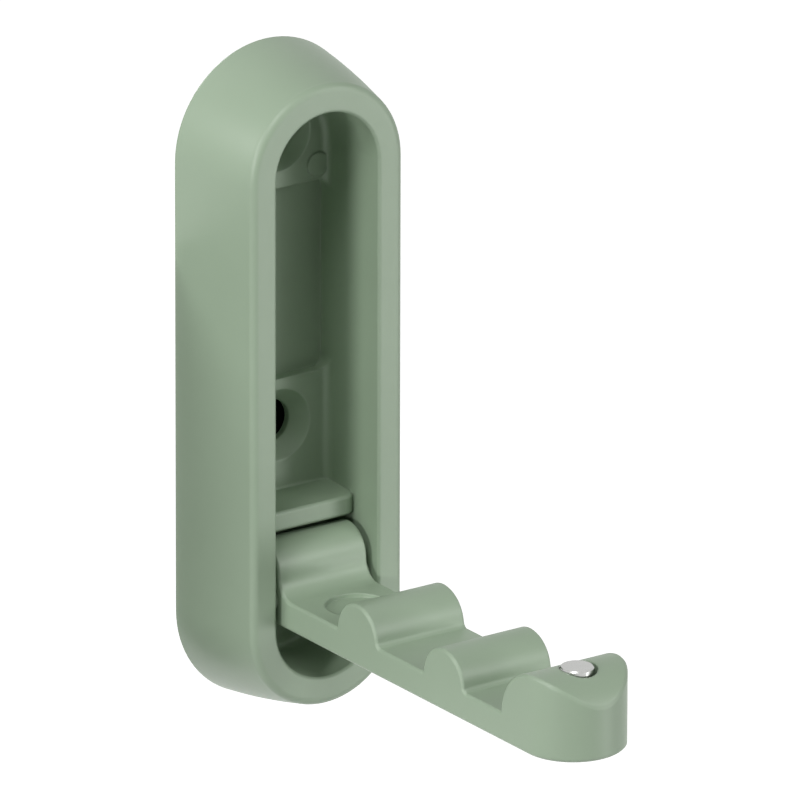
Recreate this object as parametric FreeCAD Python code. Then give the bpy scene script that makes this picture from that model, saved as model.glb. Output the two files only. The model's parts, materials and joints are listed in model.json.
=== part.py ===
import FreeCAD, Part
import math
import os

# Folding wall hook, all sizes in millimetres.
# Frame: X to the right, Y into the wall, Z up. The origin is the centre of the
# flat back, so the wall is the plane Y = 0 and the front of the casting is at
# Y = -body_depth. The arm is drawn folded out, level, on its stop.

# Housing casting
rear_width = 30.1           # outline against the wall
front_width = 25.1          # outline at the front, before the edge is rounded
body_depth = 15.25          # wall face to front face
side_crown = 0.22           # how far the drafted sides bulge
front_edge_radius = 1.1
rear_edge_break = 0.35      # chamfer along the wall

# Recess in the front. Its length is the sum of the lengths below it
opening_width = 16.9
recess_depth = 11.85
recess_draft = 1.2          # degrees, narrower towards the wall
recess_edge_break = 0.3     # chamfer round the opening
recess_floor_radius = 1.2
finger_room = 8.7           # clear recess below the arm
ledge_clearance = 0.8       # between the arm's barrel and the ledge
lower_screw_rise = 9.8      # from the top of the ledge to the lower screw
upper_screw_drop = 6.65     # from the top of the opening to the upper screw

# Deeper pocket between the two screw pads
pocket_depth = 13.55        # measured from the front face
pocket_corner_radius = 1.6
lower_pad_margin = 6.7      # from the lower screw to the pocket edge of its pad
upper_pad_margin = 7.6      # from the upper screw to the pocket edge of its pad

# Screw holes through the two pads
screw_spacing = 42.0
screw_hole_diameter = 6.2
countersink_diameter = 10.4
pin_mark_diameter = 3.5     # low round pads left by the ejector pins of the die
pin_mark_height = 0.3
pin_mark_offset = 6.4
pin_mark_drop = 5.3         # below the upper screw

# Ledge that covers the hinge from above
ledge_thickness = 2.8
ledge_setback = 5.15        # from the front face
ledge_edge_break = 0.3
ledge_corner_radius = 1.8
ledge_root_radius = 0.3
ledge_draft = 3.5           # degrees, thicker towards the recess floor

# Hinge
pivot_setback = 3.65        # from the front face, and from the arm's underside
pin_diameter = 3.0
pin_running_clearance = 0.05
pin_blind_wall = 1.6        # metal left outside the blind end of the pin hole
pin_end_chamfer = 0.3
pin_end_setback = 0.25      # pin end below the outer face of the casting

# Arm casting
arm_side_clearance = 1.07
arm_tip_clearance = 0.55    # to the top of the recess when folded
barrel_radius = 4.2
barrel_back = 1.65          # from the pin to the barrel's centre, towards the wall
barrel_rise = 3.26          # from the pin up to the barrel's centre
heel_stop_clearance = 0.05
heel_height = 3.2           # of the flat that bears on the recess floor
heel_corner_radius = 1.5
heel_side_radius = 3.2      # clears the round lower end of the recess when folded
arm_flat_thickness = 4.1
barrel_foot_radius = 2.8
ridge_radius = 4.75
ridge_positions = (21.2, 41.65)     # along the arm, from the pin
ridge_foot_radius = 0.8
tip_ridge_radius = 7.35
tip_ridge_setback = 0.4     # from the magnet's centre back towards the pin
arm_edge_break = 0.3
hub_diameter = 4.6
hub_side_clearance = 0.3
dish_diameter = 9.0
dish_depth = 0.6
dish_position = 10.9        # along the arm, from the pin

# Magnet let into the tip ridge, off centre in its socket
magnet_diameter = 4.7
magnet_thickness = 2.0
magnet_edge_break = 0.2
magnet_side_gap = 0.3
magnet_near_gap = 0.02      # where the disc touches the glue on one side
magnet_glue_thickness = 0.05
magnet_above_crest = 0.2

# Slots cored into the back, which keep the thick sides at casting thickness
core_wall = 1.9
core_depth = 8.0            # from the wall face
core_rib = 3.0              # between the two slots, and beside the pin hole

# How far a cutter stands out of the face that it cuts, and the tolerance for picking edges
overrun = 1.0
tiny = 1e-5

# Worked out from the sizes above
front_y = -body_depth
floor_y = front_y + recess_depth
rear_radius = rear_width / 2
front_radius = front_width / 2
opening_radius = opening_width / 2
recess_slope = math.tan(math.radians(recess_draft))
barrel_top = barrel_rise + barrel_radius
below_ledge = finger_room + pivot_setback + barrel_top + ledge_clearance
above_ledge = lower_screw_rise + screw_spacing + upper_screw_drop
opening_length = below_ledge + ledge_thickness + above_ledge
half_distance = (opening_length - opening_width) / 2
opening_bottom = -opening_length / 2
pivot_y = front_y + pivot_setback
pivot_height = opening_bottom + finger_room + pivot_setback
ledge_bottom = opening_bottom + below_ledge
ledge_top = ledge_bottom + ledge_thickness
lower_screw_height = ledge_top + lower_screw_rise
upper_screw_height = lower_screw_height + screw_spacing
arm_half_width = opening_radius - arm_side_clearance
arm_reach = opening_length / 2 - arm_tip_clearance - pivot_height
heel_back = recess_depth - pivot_setback - heel_stop_clearance
flat_level = arm_flat_thickness - pivot_setback
magnet_position = upper_screw_height - pivot_height
tip_ridge_position = magnet_position - tip_ridge_setback


def vec(x, y, z):
    return FreeCAD.Vector(x, y, z)


def line(a, b):
    return Part.LineSegment(a, b).toShape()


def arc(a, middle, b):
    return Part.Arc(a, middle, b).toShape()


def around(centre, radius, degrees):
    """The point at an angle on a circle in the X and Y plane."""
    angle = math.radians(degrees)
    return centre + vec(radius * math.cos(angle), radius * math.sin(angle), 0)


def cylinder(radius, start, length, direction):
    return Part.makeCylinder(radius, length, start, direction)


def box(x0, x1, y0, y1, z0, z1):
    return Part.makeBox(x1 - x0, y1 - y0, z1 - z0, vec(x0, y0, z0))


def edges_along(shape, axis):
    """Straight edges that run along one axis."""
    found = []
    for edge in shape.Edges:
        run = edge.Vertexes[-1].Point - edge.Vertexes[0].Point
        if run.Length > tiny and abs(abs(run.dot(axis)) - run.Length) < tiny:
            found.append(edge)
    return found


def recess_half_width(depth):
    """Half the recess width at a depth behind the front face."""
    return opening_radius - recess_slope * depth


def side_at(height):
    """Half width of the casting at a height above the wall face."""
    drafted = body_depth - front_edge_radius - rear_edge_break
    share = (body_depth - front_edge_radius - height) / drafted
    crown = side_crown * 4 * share * (1 - share)
    return front_radius + (rear_radius - front_radius) * share + crown


def run_round(profile):
    """Carry a half profile, drawn beside the Y axis, round the two ends and down the sides."""
    face = Part.Face(Part.Wire(profile))
    upper = face.copy()
    upper.translate(vec(0, 0, half_distance))
    top_end = upper.revolve(vec(0, 0, half_distance), vec(0, 1, 0), -180)
    lower = face.copy()
    lower.translate(vec(0, 0, -half_distance))
    bottom_end = lower.revolve(vec(0, 0, -half_distance), vec(0, 1, 0), 180)
    right_side = lower.extrude(vec(0, 0, 2 * half_distance))
    left_side = right_side.mirror(vec(0, 0, 0), vec(1, 0, 0))
    return top_end.fuse([bottom_end, right_side, left_side]).removeSplitter()


def outer_body():
    """Tapered capsule with gently crowned sides and a rounded front edge."""
    front_centre = vec(front_radius - front_edge_radius, front_y + front_edge_radius, 0)
    rear_foot = vec(rear_radius - rear_edge_break, 0, 0)
    rear_side = vec(rear_radius, -rear_edge_break, 0)
    front_side = around(front_centre, front_edge_radius, 0)
    front_rim = around(front_centre, front_edge_radius, -90)
    side_middle = (rear_side + front_side) * 0.5 + vec(side_crown, 0, 0)
    axis_rear = vec(0, 0, 0)
    axis_front = vec(0, front_y, 0)
    return run_round([
        line(axis_rear, rear_foot),
        line(rear_foot, rear_side),
        arc(rear_side, side_middle, front_side),
        arc(front_side, around(front_centre, front_edge_radius, -45), front_rim),
        line(front_rim, axis_front),
        line(axis_front, axis_rear),
    ])


def recess_cutter():
    """Drafted capsule recess with a broken front edge and a rounded floor corner."""
    rim = vec(opening_radius + recess_edge_break, front_y, 0)
    wall_top = vec(recess_half_width(recess_edge_break), front_y + recess_edge_break, 0)
    wall_x = recess_half_width(recess_depth - recess_floor_radius)
    corner_centre = vec(wall_x - recess_floor_radius, floor_y - recess_floor_radius, 0)
    wall_end = around(corner_centre, recess_floor_radius, 0)
    floor_start = around(corner_centre, recess_floor_radius, 90)
    axis_floor = vec(0, floor_y, 0)
    axis_above = vec(0, front_y - overrun, 0)
    above = rim - vec(0, overrun, 0)
    return run_round([
        line(axis_above, above),
        line(above, rim),
        line(rim, wall_top),
        line(wall_top, wall_end),
        arc(wall_end, around(corner_centre, recess_floor_radius, 45), floor_start),
        line(floor_start, axis_floor),
        line(axis_floor, axis_above),
    ])


def pocket_cutter():
    """Deeper pocket between the two pads, in line with the recess walls, with rounded corners."""
    low = lower_screw_height + lower_pad_margin
    high = upper_screw_height - upper_pad_margin
    mouth = recess_depth - recess_floor_radius
    wide = recess_half_width(mouth)
    narrow = recess_half_width(pocket_depth)
    corners = [
        vec(-wide, front_y + mouth, low),
        vec(wide, front_y + mouth, low),
        vec(narrow, front_y + pocket_depth, low),
        vec(-narrow, front_y + pocket_depth, low),
    ]
    block = Part.Face(Part.makePolygon(corners + corners[:1])).extrude(vec(0, 0, high - low))
    inward = []
    for edge in block.Edges:
        if edge.BoundBox.ZLength < tiny and edge.BoundBox.YLength > tiny:
            inward.append(edge)
    return block.makeFillet(pocket_corner_radius, inward)


def countersunk_hole(height):
    """Screw hole with a ninety-degree countersink in the face of its pad."""
    hole_radius = screw_hole_diameter / 2
    sink_radius = countersink_diameter / 2
    inward = vec(0, 1, 0)
    mouth = vec(0, floor_y, height)
    hole = cylinder(hole_radius, mouth, body_depth, inward)
    cone = Part.makeCone(sink_radius, hole_radius, sink_radius - hole_radius, mouth, inward)
    entry = cylinder(sink_radius, mouth - inward * overrun, overrun, inward)
    return hole.fuse([cone, entry])


def pin_marks():
    """Low round pads left by the ejector pins of the die, beside the upper screw."""
    height = upper_screw_height - pin_mark_drop
    marks = []
    for side in (-1, 1):
        start = vec(side * pin_mark_offset, floor_y - pin_mark_height, height)
        marks.append(cylinder(pin_mark_diameter / 2, start, pin_mark_height + overrun, vec(0, 1, 0)))
    return marks


def ledge():
    """Shelf across the recess above the hinge, rooted in the recess floor and thicker there."""
    lip_y = front_y + ledge_setback
    rear_y = floor_y + overrun
    growth = (rear_y - lip_y) * math.tan(math.radians(ledge_draft))
    corners = [
        vec(-opening_radius, lip_y, ledge_bottom),
        vec(-opening_radius, lip_y, ledge_top),
        vec(-opening_radius, rear_y, ledge_top + growth),
        vec(-opening_radius, rear_y, ledge_bottom - growth),
    ]
    block = Part.Face(Part.makePolygon(corners + corners[:1])).extrude(vec(opening_width, 0, 0))
    upright = [edge for edge in edges_along(block, vec(0, 0, 1)) if edge.CenterOfMass.y < floor_y]
    block = block.makeFillet(ledge_corner_radius, upright)
    rim = []
    for edge in block.Edges:
        reach = edge.BoundBox
        in_front = reach.YMax < lip_y + ledge_corner_radius + tiny
        if in_front and reach.XLength > tiny:
            rim.append(edge)
    return block.makeChamfer(ledge_edge_break, rim)


def ledge_root():
    """Concave fillet between the ledge and the middle pad."""
    r = ledge_root_radius
    rise = (recess_depth - ledge_setback) * math.tan(math.radians(ledge_draft))
    corner = vec(-opening_radius, floor_y, ledge_top + rise)
    on_ledge = corner - vec(0, r, 0)
    on_pad = corner + vec(0, 0, r)
    inset = r * (1 - math.sqrt(0.5))
    middle = corner + vec(0, -inset, inset)
    behind = vec(0, overrun, 0)
    outline = Part.Wire([
        line(on_ledge, corner + behind),
        line(corner + behind, on_pad + behind),
        line(on_pad + behind, on_pad),
        arc(on_pad, middle, on_ledge),
    ])
    return Part.Face(outline).extrude(vec(opening_width, 0, 0))


def back_cores():
    """Slots in the back, drafted towards their floors, with a rib between the upper and the lower."""
    inner = opening_radius + core_wall
    outer = rear_radius - core_wall
    floor_inner = inner + core_depth * recess_slope
    floor_outer = side_at(core_depth) - core_wall
    low = pivot_height + pin_diameter / 2 + core_rib
    middle = (low + half_distance) / 2
    cores = []
    for z0, z1 in ((low, middle - core_rib / 2), (middle + core_rib / 2, half_distance)):
        for side in (-1, 1):
            corners = [
                vec(side * inner, overrun, z0),
                vec(side * outer, overrun, z0),
                vec(side * outer, 0, z0),
                vec(side * floor_outer, -core_depth, z0),
                vec(side * floor_inner, -core_depth, z0),
                vec(side * inner, 0, z0),
            ]
            face = Part.Face(Part.makePolygon(corners + corners[:1]))
            cores.append(face.extrude(vec(0, 0, z1 - z0)))
    return cores


def pin_blind_end():
    """The blind end of the pin hole, which is drilled from the right."""
    return vec(pin_blind_wall - side_at(body_depth - pivot_setback), pivot_y, pivot_height)


def make_housing():
    body = outer_body().cut([recess_cutter(), pocket_cutter()])
    shelf = ledge().fuse(ledge_root()).common(outer_body())
    body = body.fuse([shelf] + pin_marks()).removeSplitter()
    cutters = [countersunk_hole(lower_screw_height), countersunk_hole(upper_screw_height)]
    cutters += back_cores()
    cutters.append(cylinder(pin_diameter / 2, pin_blind_end(), rear_width, vec(1, 0, 0)))
    return body.cut(cutters).removeSplitter()


def make_hinge_pin():
    start = pin_blind_end()
    length = side_at(body_depth - pivot_setback) - pin_end_setback - start.x
    pin = cylinder(pin_diameter / 2, start, length, vec(1, 0, 0))
    rims = [edge for edge in pin.Edges if edge.BoundBox.XLength < tiny]
    return pin.makeChamfer(pin_end_chamfer, rims)


def arm_point(along, up):
    """A point of the arm's side profile, measured from the pin, on the plane X = 0."""
    return vec(0, pivot_y - along, pivot_height + up)


def profile_arc(centre, radius, start, end):
    """Arc of the side profile between two angles in degrees, from the arm's long direction."""
    def at(degrees):
        angle = math.radians(degrees)
        return arm_point(centre[0] + radius * math.cos(angle), centre[1] + radius * math.sin(angle))
    return arc(at(start), at((start + end) / 2), at(end))


def ridge_edges(position, next_foot):
    """Half-round ridge with a small fillet at its outer foot, and the flat beyond it."""
    reach = ridge_radius + ridge_foot_radius
    foot_along = position + math.sqrt(reach ** 2 - ridge_foot_radius ** 2)
    touch = math.degrees(math.asin(ridge_foot_radius / reach))
    foot_centre = (foot_along, flat_level + ridge_foot_radius)
    return [
        line(arm_point(next_foot, flat_level), arm_point(foot_along, flat_level)),
        profile_arc(foot_centre, ridge_foot_radius, 270, 180 + touch),
        profile_arc((position, flat_level), ridge_radius, touch, 180),
    ]


def barrel_edges(next_foot):
    """The first flat, the concave foot of the barrel, the barrel and the heel under it."""
    under = -pivot_setback
    corner = heel_corner_radius
    reach = barrel_radius + barrel_foot_radius
    rise = flat_level + barrel_foot_radius
    foot_along = math.sqrt(reach ** 2 - (rise - barrel_rise) ** 2) - barrel_back
    touch = math.degrees(math.asin((rise - barrel_rise) / reach))
    heel_top = under + heel_height
    over = barrel_rise - heel_top
    behind = heel_back - barrel_back
    span = math.hypot(behind, over)
    slope = math.degrees(math.atan2(over, behind) + math.asin(barrel_radius / span))
    back = arm_point(-heel_back, heel_top)
    tangent = math.sqrt(span ** 2 - barrel_radius ** 2)
    leave = back + vec(0, tangent * -math.cos(math.radians(slope)), tangent * math.sin(math.radians(slope)))
    return [
        line(arm_point(next_foot, flat_level), arm_point(foot_along, flat_level)),
        profile_arc((foot_along, rise), barrel_foot_radius, 270, 180 + touch),
        profile_arc((-barrel_back, barrel_rise), barrel_radius, touch, slope + 90),
        line(leave, back),
        line(back, arm_point(-heel_back, under + corner)),
        profile_arc((corner - heel_back, under + corner), corner, 180, 270),
        line(arm_point(corner - heel_back, under), arm_point(arm_reach, under)),
    ]


def arm_profile():
    """Side profile of the arm, from its end back over the ridges to the barrel and the heel."""
    beyond = min(arm_reach - tip_ridge_position, tip_ridge_radius)
    tip_angle = math.degrees(math.acos(beyond / tip_ridge_radius))
    tip_up = flat_level + tip_ridge_radius * math.sin(math.radians(tip_angle))
    end_top = arm_point(arm_reach, tip_up)
    ridge_end = arm_point(tip_ridge_position + beyond, tip_up)
    edges = [line(arm_point(arm_reach, -pivot_setback), end_top)]
    if end_top.distanceToPoint(ridge_end) > tiny:
        edges.append(line(end_top, ridge_end))
    edges.append(profile_arc((tip_ridge_position, flat_level), tip_ridge_radius, tip_angle, 180))
    next_foot = tip_ridge_position - tip_ridge_radius
    for position in reversed(ridge_positions):
        edges += ridge_edges(position, next_foot)
        next_foot = position - ridge_radius
    return Part.Wire(edges + barrel_edges(next_foot))


def arm_plan():
    """The arm seen from above: straight sides and a round tip."""
    low = pivot_height - pivot_setback - overrun
    high = pivot_height + flat_level + tip_ridge_radius + overrun
    tip_y = pivot_y - arm_reach + arm_half_width
    sides = box(-arm_half_width, arm_half_width, tip_y, overrun, low, high)
    nose = cylinder(arm_half_width, vec(0, tip_y, low), high - low, vec(0, 0, 1))
    return sides.fuse(nose).removeSplitter()


def heel_plan():
    """The arm seen from above once more, with the two corners of the heel rounded."""
    low = pivot_height - pivot_setback - overrun
    high = pivot_height + barrel_top + overrun
    heel_y = pivot_y + heel_back
    tip_y = pivot_y - arm_reach
    plan = box(-arm_half_width, arm_half_width, tip_y - overrun, heel_y, low, high)
    corners = [edge for edge in edges_along(plan, vec(0, 0, 1)) if edge.CenterOfMass.y > pivot_y]
    return plan.makeFillet(heel_side_radius, corners)


def arm_outline_edges(blank):
    """Edges round the two sides and the tip of the arm, without those that cross it."""
    found = []
    for edge in blank.Edges:
        reach = edge.BoundBox
        crosses = reach.XLength > 2 * arm_half_width - tiny
        upright_on_tip = reach.ZLength > tiny and reach.XLength < tiny and abs(reach.XMin) < tiny
        if not crosses and not upright_on_tip:
            found.append(edge)
    return found


def arm_hubs():
    """Round hubs that space the arm from the recess walls."""
    half = recess_half_width(pivot_setback) - hub_side_clearance
    return cylinder(hub_diameter / 2, vec(-half, pivot_y, pivot_height), 2 * half, vec(1, 0, 0))


def magnet_base(depth):
    """A point on the magnet's axis, below its upper face."""
    crest = flat_level + tip_ridge_radius
    return arm_point(magnet_position, crest + magnet_above_crest - depth)


def make_hook_arm():
    face = Part.Face(arm_profile())
    face.translate(vec(-opening_radius, 0, 0))
    blank = face.extrude(vec(opening_width, 0, 0)).common(arm_plan())
    blank = blank.makeChamfer(arm_edge_break, arm_outline_edges(blank)).common(heel_plan())
    bore_start = vec(-rear_radius, pivot_y, pivot_height)
    bore = cylinder(pin_diameter / 2 + pin_running_clearance, bore_start, rear_width, vec(1, 0, 0))
    up = vec(0, 0, 1)
    dish_start = arm_point(dish_position, flat_level - dish_depth)
    dish = cylinder(dish_diameter / 2, dish_start, dish_depth + barrel_top, up)
    socket_floor = magnet_base(magnet_thickness + magnet_glue_thickness)
    socket_radius = magnet_diameter / 2 + magnet_side_gap
    socket = cylinder(socket_radius, socket_floor, magnet_thickness + overrun, up)
    return blank.fuse(arm_hubs()).removeSplitter().cut([bore, dish, socket])


def make_arm_magnet():
    base = magnet_base(magnet_thickness) - vec(magnet_side_gap - magnet_near_gap, 0, 0)
    disc = cylinder(magnet_diameter / 2, base, magnet_thickness, vec(0, 0, 1))
    rims = [edge for edge in disc.Edges if edge.BoundBox.ZLength < tiny]
    return disc.makeChamfer(magnet_edge_break, rims)


def save(name, shape):
    solids = len(shape.Solids)
    if solids != 1 or not shape.isValid():
        print("check", name, solids, shape.isValid())
    shape.exportStep(os.path.join("parts", name + ".step"))
    print(name, round(shape.Volume, 1), "mm3")


os.makedirs("parts", exist_ok=True)
save("housing", make_housing())
save("hinge_pin", make_hinge_pin())
save("hook_arm", make_hook_arm())
save("arm_magnet", make_arm_magnet())
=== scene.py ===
import json
import math

import bpy
from mathutils import Matrix, Vector

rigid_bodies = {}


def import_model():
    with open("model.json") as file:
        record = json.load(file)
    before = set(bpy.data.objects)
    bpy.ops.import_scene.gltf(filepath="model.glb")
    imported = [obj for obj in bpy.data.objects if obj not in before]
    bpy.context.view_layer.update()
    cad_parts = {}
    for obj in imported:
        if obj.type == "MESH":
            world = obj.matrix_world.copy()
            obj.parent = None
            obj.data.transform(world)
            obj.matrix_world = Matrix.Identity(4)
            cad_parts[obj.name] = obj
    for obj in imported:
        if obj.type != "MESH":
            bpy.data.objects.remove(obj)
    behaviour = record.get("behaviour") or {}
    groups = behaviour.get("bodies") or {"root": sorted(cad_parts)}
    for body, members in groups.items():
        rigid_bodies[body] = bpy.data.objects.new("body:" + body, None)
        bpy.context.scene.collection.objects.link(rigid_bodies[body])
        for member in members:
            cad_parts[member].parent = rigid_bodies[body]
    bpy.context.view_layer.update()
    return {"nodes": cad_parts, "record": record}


for leftover in list(bpy.data.objects):
    bpy.data.objects.remove(leftover)
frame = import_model()

# The housing is a zinc die casting with a satin sage green powder coat, screwed to the wall
# through two countersunk holes in the floor of its recess. The baked coat has a fine orange
# peel and slight changes of tone. Its outer edges are painted lighter, partly because the coat
# draws back a little from them and partly as a painted highlight along the edges.
sage = (0.296, 0.383, 0.277, 1.0)
sage_light = (0.312, 0.402, 0.293, 1.0)
sage_dark = (0.272, 0.354, 0.253, 1.0)
# lighter colour of the outer edges: partly thinner coat, partly a painted highlight
sage_thin_edge_highlight = (0.350, 0.440, 0.330, 1.0)
tone_size = 0.018           # metres across a patch of tone
tone_detail = 3.0
speck_size = 0.00035
speck_tint = 0.3            # share of plain sage that the specks bring back
speck_rise = 0.25           # height of a speck beside that of the peel
peel_size = 0.0011
peel_height = 0.000012
fine_detail = 2.0
coat_roughness = 0.42
roughness_swing = 0.10
edge_radius = 0.0004        # to which the coat rounds the casting's edges
edge_rays = 6
edge_turn = 5.0             # how soon a turn of the surface counts as an edge
# how far the edges go towards that lighter colour, partly thin coat and partly painted highlight
edge_thinning_and_highlight = 0.8
corner_reach = 0.0006       # how near a wall makes a corner hollow
corner_rays = 8
corner_open = 0.75          # openness at which the coat lies as thick as elsewhere


class Signal:
    """One output of a shader node. Arithmetic on it adds Math nodes to the same finish."""

    def __init__(self, finish, socket):
        self.finish = finish
        self.socket = socket

    def combine(self, operation, first, second):
        return self.finish.node("Math", {"operation": operation}, {0: first, 1: second})

    def __add__(self, other):
        return self.combine("ADD", self, other)

    def __radd__(self, other):
        return self.combine("ADD", other, self)

    def __sub__(self, other):
        return self.combine("SUBTRACT", self, other)

    def __rsub__(self, other):
        return self.combine("SUBTRACT", other, self)

    def __mul__(self, other):
        return self.combine("MULTIPLY", self, other)

    def __rmul__(self, other):
        return self.combine("MULTIPLY", other, self)

    def swing(self, width):
        """A noise, which runs from 0 to 1, turned into a swing of this width about 0."""
        return (self - 0.5) * width


class Finish:
    """A material being mixed. node() adds one shader node, sets it up and links its sockets."""

    def __init__(self, owner):
        self.owner = owner
        owner.use_nodes = True
        self.tree = owner.node_tree
        self.tree.nodes.clear()

    def node(self, kind, settings=None, inputs=None, output=0):
        node = self.tree.nodes.new("ShaderNode" + kind)
        for key, value in (settings or {}).items():
            setattr(node, key, value)
        for key, value in (inputs or {}).items():
            if isinstance(value, Signal):
                self.tree.links.new(value.socket, node.inputs[key])
            else:
                node.inputs[key].default_value = value
        return Signal(self, node.outputs[output] if node.outputs else None)

    def noise(self, size, detail):
        place = self.node("TexCoord", output="Object")
        return self.node("TexNoise", inputs={"Vector": place, "Scale": 1 / size, "Detail": detail})

    def soft_edges(self, radius, rays):
        """The surface's direction with its edges rounded off over a small radius."""
        return self.node("Bevel", {"samples": rays}, {"Radius": radius})

    def edge_mask(self, softened, turn):
        """1 on the edges, where the softened direction leaves the surface's own, 0 elsewhere."""
        own = self.node("NewGeometry", output="Normal")
        dot = {"operation": "DOT_PRODUCT"}
        match = self.node("VectorMath", dot, {0: own, 1: softened}, "Value")
        limited = {"operation": "MULTIPLY", "use_clamp": True}
        return self.node("Math", limited, {0: 1 - match, 1: turn})

    def openness(self, reach, rays):
        """1 where the surface lies free, less where it closes in on itself within the reach."""
        settings = {"samples": rays, "only_local": True}
        return self.node("AmbientOcclusion", settings, {"Distance": reach}, "AO")

    def blend(self, share, first, second):
        """A mix of two colours, which are inputs 6 and 7 and output 2 of the Mix node."""
        return self.node("Mix", {"data_type": "RGBA"}, {0: share, 6: first, 7: second}, 2)

    def surface(self, shader):
        self.node("OutputMaterial", inputs={"Surface": shader})
        return self.owner


def powder_coat():
    finish = Finish(bpy.data.materials.new("sage_powder_coat"))
    tone = finish.noise(tone_size, tone_detail)
    speck = finish.noise(speck_size, fine_detail)
    peel = finish.noise(peel_size, fine_detail)
    softened = finish.soft_edges(edge_radius, edge_rays)
    free = (finish.openness(corner_reach, corner_rays) - corner_open) * (1 / (1 - corner_open))
    # The convex edges, kept out of hollow corners, take the lighter colour: partly the thinner
    # coat, partly a painted highlight.
    edges = finish.edge_mask(softened, edge_turn) * free
    shade = finish.blend(tone, sage_dark, sage_light)
    mottled = finish.blend(speck * speck_tint, shade, sage)
    bump = finish.node("Bump", inputs={
        "Strength": 1.0,
        "Distance": peel_height,
        "Height": peel + speck * speck_rise,
        "Normal": softened,
    })
    coat = finish.node("BsdfPrincipled", inputs={
        "Base Color": finish.blend(edges * edge_thinning_and_highlight, mottled, sage_thin_edge_highlight),
        "Roughness": coat_roughness + peel.swing(roughness_swing),
        "Normal": bump,
    })
    return finish.surface(coat)


def dress(node, material):
    piece = frame["nodes"][node]
    piece.data.materials.clear()
    piece.data.materials.append(material)
    return piece


coat = powder_coat()
dress("housing", coat)

# The arm is a second casting in the same coat, so it shares the housing's material. It hangs
# level on its heel, takes hangers between its half-round ridges and folds up into the recess.
dress("hook_arm", coat)

# The hinge pin is a plain steel pin, ground to size and left bare. It is pressed through the
# barrel into a blind hole in the housing, so only its right end shows.
steel_light = (0.56, 0.56, 0.55, 1.0)
steel_dark = (0.46, 0.46, 0.455, 1.0)
steel_roughness = 0.34
steel_swing = 0.2
grain_size = 0.0004
grain_detail = 4.0
grain_height = 0.00001
grain_depth = 0.5           # share of the grain's height that polishing leaves


def ground_steel():
    finish = Finish(bpy.data.materials.new("ground_steel"))
    grain = finish.noise(grain_size, grain_detail)
    bump = finish.node("Bump", inputs={
        "Strength": grain_depth,
        "Distance": grain_height,
        "Height": grain,
    })
    metal = finish.node("BsdfPrincipled", inputs={
        "Base Color": finish.blend(grain, steel_dark, steel_light),
        "Metallic": 1.0,
        "Roughness": steel_roughness + grain.swing(steel_swing),
        "Normal": bump,
    })
    return finish.surface(metal)


dress("hinge_pin", ground_steel())

# The magnet is a sintered disc with a bright nickel plate, glued into its socket in the tip
# ridge. It holds the folded arm by the steel head of the upper mounting screw.
nickel_light = (0.52, 0.525, 0.51, 1.0)
nickel_dark = (0.45, 0.455, 0.44, 1.0)
nickel_roughness = 0.24
nickel_swing = 0.2
scuff_size = 0.0007
scuff_detail = 5.0
scuff_height = 0.00001
scuff_depth = 0.6


def nickel_plate():
    finish = Finish(bpy.data.materials.new("nickel_plate"))
    scuff = finish.noise(scuff_size, scuff_detail)
    bump = finish.node("Bump", inputs={
        "Strength": scuff_depth,
        "Distance": scuff_height,
        "Height": scuff,
    })
    metal = finish.node("BsdfPrincipled", inputs={
        "Base Color": finish.blend(scuff, nickel_dark, nickel_light),
        "Metallic": 1.0,
        "Roughness": nickel_roughness + scuff.swing(nickel_swing),
        "Normal": bump,
    })
    return finish.surface(metal)


dress("arm_magnet", nickel_plate())

# The room has a pale floor well below the hook and a white surround. The eye and its
# reflections see both as white, while the light that they throw on the hook is set apart.
floor_height = -0.60
floor_half = 4.0
floor_paint = (0.6, 0.6, 0.6, 1.0)
floor_lift = 1.0            # brings the lit floor up to white where it is seen
ambient = 0.02
white = (1.0, 1.0, 1.0, 1.0)


def seen_directly(finish):
    """1 for what the camera sees, straight or by reflection or through glass, and otherwise 0."""
    straight = finish.node("LightPath", output="Is Camera Ray")
    mirrored = finish.node("LightPath", output="Is Glossy Ray")
    through = finish.node("LightPath", output="Is Transmission Ray")
    seen = straight.combine("MAXIMUM", straight, mirrored)
    return seen.combine("MAXIMUM", seen, through)


def pale_floor():
    finish = Finish(bpy.data.materials.new("pale_floor"))
    paint = finish.node("BsdfDiffuse", inputs={"Color": floor_paint})
    glow = finish.node("Emission", inputs={"Color": white, "Strength": floor_lift})
    lit = finish.node("AddShader", inputs={0: paint, 1: glow})
    seen = seen_directly(finish)
    return finish.surface(finish.node("MixShader", inputs={0: seen, 1: paint, 2: lit}))


def white_surround():
    finish = Finish(bpy.data.worlds.new("surround"))
    strength = seen_directly(finish) * (1 - ambient) + ambient
    background = finish.node("Background", inputs={"Color": white, "Strength": strength})
    finish.node("OutputWorld", inputs={"Surface": background})
    return finish.owner


bpy.ops.mesh.primitive_plane_add(size=2 * floor_half, location=(0, 0, floor_height))
floor = bpy.context.object
floor.name = "floor"
floor.data.materials.append(pale_floor())
bpy.context.scene.world = white_surround()

# The wall behind the two screw holes lies in the dark, so each hole shows black. A black disc in
# the back of each hole is painted shade that stands for that dark wall, its edge hidden in the
# metal.
# Black for the painted shade in the screw holes, and for the face of the card further down.
shade_black = (0.004, 0.005, 0.004, 1.0)
screw_holes = next(mount for mount in frame["record"]["mounts"] if mount["name"] == "screw_holes")
hole_radius = screw_holes["dims"]["hole_r_mm"] / 1000
hole_spacing = screw_holes["dims"]["spacing_y_mm"] / 1000
disc_oversize = 1.02
disc_corners = 64
upright = (math.pi / 2, 0, 0)


def black_shade():
    finish = Finish(bpy.data.materials.new("black_shade"))
    return finish.surface(finish.node("BsdfDiffuse", inputs={"Color": shade_black}))


black_shade_finish = black_shade()
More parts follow.
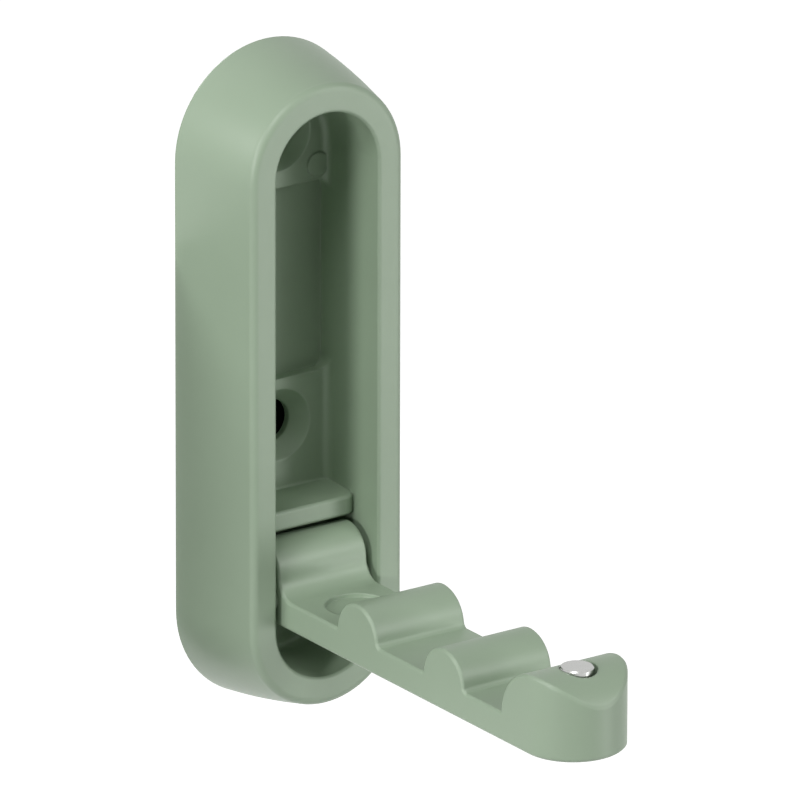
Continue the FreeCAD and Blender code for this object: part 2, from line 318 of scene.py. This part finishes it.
# Each disc is painted shade: a black patch where only a shadowed wall would be.
for name, side in (("painted_shade_low", -1), ("painted_shade_high", 1)):
    bpy.ops.mesh.primitive_circle_add(
        vertices=disc_corners, radius=hole_radius * disc_oversize, fill_type="NGON",
        location=Vector(screw_holes["pos_m"]) + Vector((0, 0, side * hole_spacing / 2)),
        rotation=upright)
    disc = bpy.context.object
    disc.name = name
    disc.data.materials.append(black_shade_finish)

# The lamps are round soft boxes on a sphere round the hook. Each has its bearing from straight
# on, positive to the right, and its height above level in degrees, its width in metres and its
# power in watts.
lamp_distance = 1.3
lamp_aim = Vector((0, -0.03, 0))


def hang_lamp(name, bearing, height, width, power):
    data = bpy.data.lights.new(name, "AREA")
    data.shape = "DISK"
    data.size = width
    data.energy = power
    lamp = bpy.data.objects.new(name, data)
    bpy.context.scene.collection.objects.link(lamp)
    across = math.radians(bearing)
    lift = math.radians(height)
    level = math.cos(lift)
    outward = Vector((math.sin(across) * level, -math.cos(across) * level, math.sin(lift)))
    lamp.location = lamp_aim + outward * lamp_distance
    lamp.rotation_mode = "QUATERNION"
    lamp.rotation_quaternion = (-outward).to_track_quat("-Z", "Y")


hang_lamp("key", bearing=-60, height=58, width=0.5, power=7.0)
hang_lamp("left_high", bearing=-102, height=25, width=0.5, power=6.2)
hang_lamp("left_near", bearing=-72, height=8, width=0.3, power=6.5)
hang_lamp("front_left", bearing=8, height=20, width=0.3, power=0.6)
hang_lamp("front_high", bearing=25, height=35, width=0.4, power=1.6)
hang_lamp("front_right", bearing=42, height=20, width=0.4, power=3.5)
hang_lamp("right_level", bearing=37, height=-10, width=0.45, power=3.8)
hang_lamp("back", bearing=180, height=20, width=0.5, power=6.0)

# A black card stands against the wall plane beside the housing, out of the picture, and keeps
# the left lamps off the rear part of that side, as a dark wall would.
card_right = -0.0165
card_left = -0.075
card_bottom = -0.055
card_top = 0.020
card_behind = 0.0005        # from the back of the housing

middle = ((card_left + card_right) / 2, card_behind, (card_bottom + card_top) / 2)
bpy.ops.mesh.primitive_plane_add(size=1, location=middle, rotation=upright)
card = bpy.context.object
card.name = "card"
card.scale = (card_right - card_left, card_top - card_bottom, 1)
card.visible_camera = False
card.data.materials.append(black_shade_finish)

# The camera repeats the photograph's view from far off, to the left and a little above. It
# looks at a point near the middle of the picture, given from the centre of the front face.
camera_turn = 34.917        # degrees round to the left of straight on
camera_rise = 20.124
camera_roll = 0.133
camera_distance = 2.4605
camera_lens = 811.3
camera_reach = 20           # metres, past the far edge of the floor
front_face = -0.01525
aim_right = 0.009830        # across the picture
aim_up = -0.000454

turn = math.radians(camera_turn)
rise = math.radians(camera_rise)
roll = math.radians(camera_roll)
level = math.cos(rise)
right = Vector((math.cos(turn), -math.sin(turn), 0))
forward = Vector((math.sin(turn) * level, math.cos(turn) * level, -math.sin(rise)))
up = right.cross(forward)
picture_right = right * math.cos(roll) + up * math.sin(roll)
picture_up = up * math.cos(roll) - right * math.sin(roll)
aim = Vector((0, front_face, 0)) + picture_right * aim_right + picture_up * aim_up
stand = Matrix((picture_right, picture_up, -forward)).transposed().to_4x4()
stand.translation = aim - forward * camera_distance

camera_data = bpy.data.cameras.new("camera")
camera_data.lens = camera_lens
camera_data.clip_end = camera_reach
camera = bpy.data.objects.new("camera", camera_data)
bpy.context.scene.collection.objects.link(camera)
camera.matrix_world = stand
bpy.context.scene.camera = camera

bpy.context.scene.view_settings.view_transform = "Standard"
